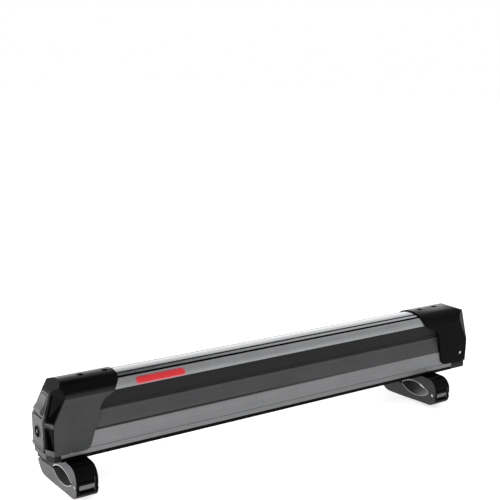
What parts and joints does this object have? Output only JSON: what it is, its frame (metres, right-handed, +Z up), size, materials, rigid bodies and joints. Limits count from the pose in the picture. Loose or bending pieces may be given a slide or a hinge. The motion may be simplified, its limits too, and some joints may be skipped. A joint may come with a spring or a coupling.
{
  "type": "roof ski rack",
  "caption": "Roof ski rack: a padded aluminium arm hinged to a padded base rail, with push-button latch and key lock, on two screw clamps for an aero crossbar.",
  "frame": {"origin": "centre of the crossbar opening in the latch-side foot", "axes": "+X along the rack and the crossbar, from the latch end to the hinge end; +Y across the rack, away from the side with the clamp knuckles; +Z up"},
  "size_m": [0.8673, 0.1582, 0.1777],
  "materials": {
    "rail_alu": "satin anodised",
    "lower_pad_rubber": "matte",
    "upper_pad_rubber": "matte",
    "liner_rubber": "matte",
    "cap_black": "semi-gloss moulded, fine texture on the side plates",
    "base_black": "moulded",
    "cover_grey": "moulded satin",
    "jaw_black": "moulded glass-filled nylon",
    "indicator_red": "gloss",
    "bush_nylon": "natural nylon",
    "spring_steel": "plain",
    "lock_metal": "polished",
    "zinc_steel": "zinc plated"
  },
  "bodies": {
    "base": {"lower_rail": "rail_alu", "lower_pad": "lower_pad_rubber", "pad_end_stop": "base_black", "latch_base": "base_black", "release_indicators": "indicator_red", "striker_bar": "zinc_steel", "hinge_base": "base_black", "base_end_screws": "zinc_steel", "hinge_pin": "zinc_steel", "hinge_pin_clips": "spring_steel"},
    "arm": {"upper_rail": "rail_alu", "upper_pad": "upper_pad_rubber", "latch_cap": "cap_black", "latch_end_cover": "cover_grey", "lock_housing": "lock_metal", "button_spring": "spring_steel", "pawl_pin": "zinc_steel", "pawl_spring": "spring_steel", "hinge_cap": "cap_black", "hinge_bushes": "bush_nylon", "cap_screws": "zinc_steel"},
    "button": {"release_button": "cover_grey"},
    "pawl": {"latch_pawl": "zinc_steel"},
    "lock": {"lock_cylinder": "lock_metal", "lock_cam": "zinc_steel"},
    "latch_foot": {"latch_foot_upper_jaw": "jaw_black", "latch_foot_upper_liner": "liner_rubber", "latch_foot_jaw_pin": "zinc_steel", "latch_foot_barrel_nut": "zinc_steel", "latch_foot_slide_nut": "zinc_steel", "latch_foot_mounting_bolt": "zinc_steel"},
    "latch_foot_jaw": {"latch_foot_lower_jaw": "jaw_black", "latch_foot_lower_liner": "liner_rubber"},
    "latch_foot_screw": {"latch_foot_clamp_screw": "zinc_steel"},
    "hinge_foot": {"hinge_foot_upper_jaw": "jaw_black", "hinge_foot_upper_liner": "liner_rubber", "hinge_foot_jaw_pin": "zinc_steel", "hinge_foot_barrel_nut": "zinc_steel", "hinge_foot_slide_nut": "zinc_steel", "hinge_foot_mounting_bolt": "zinc_steel"},
    "hinge_foot_jaw": {"hinge_foot_lower_jaw": "jaw_black", "hinge_foot_lower_liner": "liner_rubber"},
    "hinge_foot_screw": {"hinge_foot_clamp_screw": "zinc_steel"}
  },
  "joints": [
    {"name": "arm_hinge", "type": "hinge", "parent": "base", "child": "arm", "pos_m": [0.804, 0.0195, 0.061], "axis": [0, 1, 0], "range_deg": [0, 32]},
    {"name": "release_button_press", "type": "slide", "parent": "arm", "child": "button", "axis": [1, 0, 0], "range_m": [0, 0.0035], "stiffness_N_per_m": 800, "deforming": ["button_spring"]},
    {"name": "latch_pawl_swing", "type": "hinge", "parent": "arm", "child": "pawl", "pos_m": [-0.021, 0.0195, 0.111], "axis": [0, 1, 0], "range_deg": [0, 14], "deforming": ["pawl_spring"]},
    {"name": "key_lock_turn", "type": "hinge", "parent": "arm", "child": "lock", "pos_m": [-0.037, 0.0195, 0.072], "axis": [1, 0, 0], "range_deg": [0, 90]},
    {"name": "latch_foot_slide", "type": "slide", "parent": "base", "child": "latch_foot", "axis": [1, 0, 0], "range_m": [-0.004, 0.2]},
    {"name": "latch_foot_screw_travel", "type": "slide", "parent": "latch_foot", "child": "latch_foot_screw", "axis": [0, 0, -1], "range_m": [0, 0.022]},
    {"name": "latch_foot_jaw_swing", "type": "hinge", "parent": "latch_foot", "child": "latch_foot_jaw", "pos_m": [0, -0.0475, -0.002], "axis": [-1, 0, 0], "range_deg": [0, 10]},
    {"name": "hinge_foot_slide", "type": "slide", "parent": "base", "child": "hinge_foot", "axis": [1, 0, 0], "range_m": [-0.2, 0.03]},
    {"name": "hinge_foot_screw_travel", "type": "slide", "parent": "hinge_foot", "child": "hinge_foot_screw", "axis": [0, 0, -1], "range_m": [0, 0.022]},
    {"name": "hinge_foot_jaw_swing", "type": "hinge", "parent": "hinge_foot", "child": "hinge_foot_jaw", "pos_m": [0.727, -0.0475, -0.002], "axis": [-1, 0, 0], "range_deg": [0, 10]}
  ],
  "couplings": [
    {"joint": "latch_pawl_swing", "follows": "release_button_press", "rad_per_m": 69.8},
    {"joint": "latch_foot_jaw_swing", "follows": "latch_foot_screw_travel", "rad_per_m": 7.78},
    {"joint": "hinge_foot_jaw_swing", "follows": "hinge_foot_screw_travel", "rad_per_m": 7.78}
  ]
}
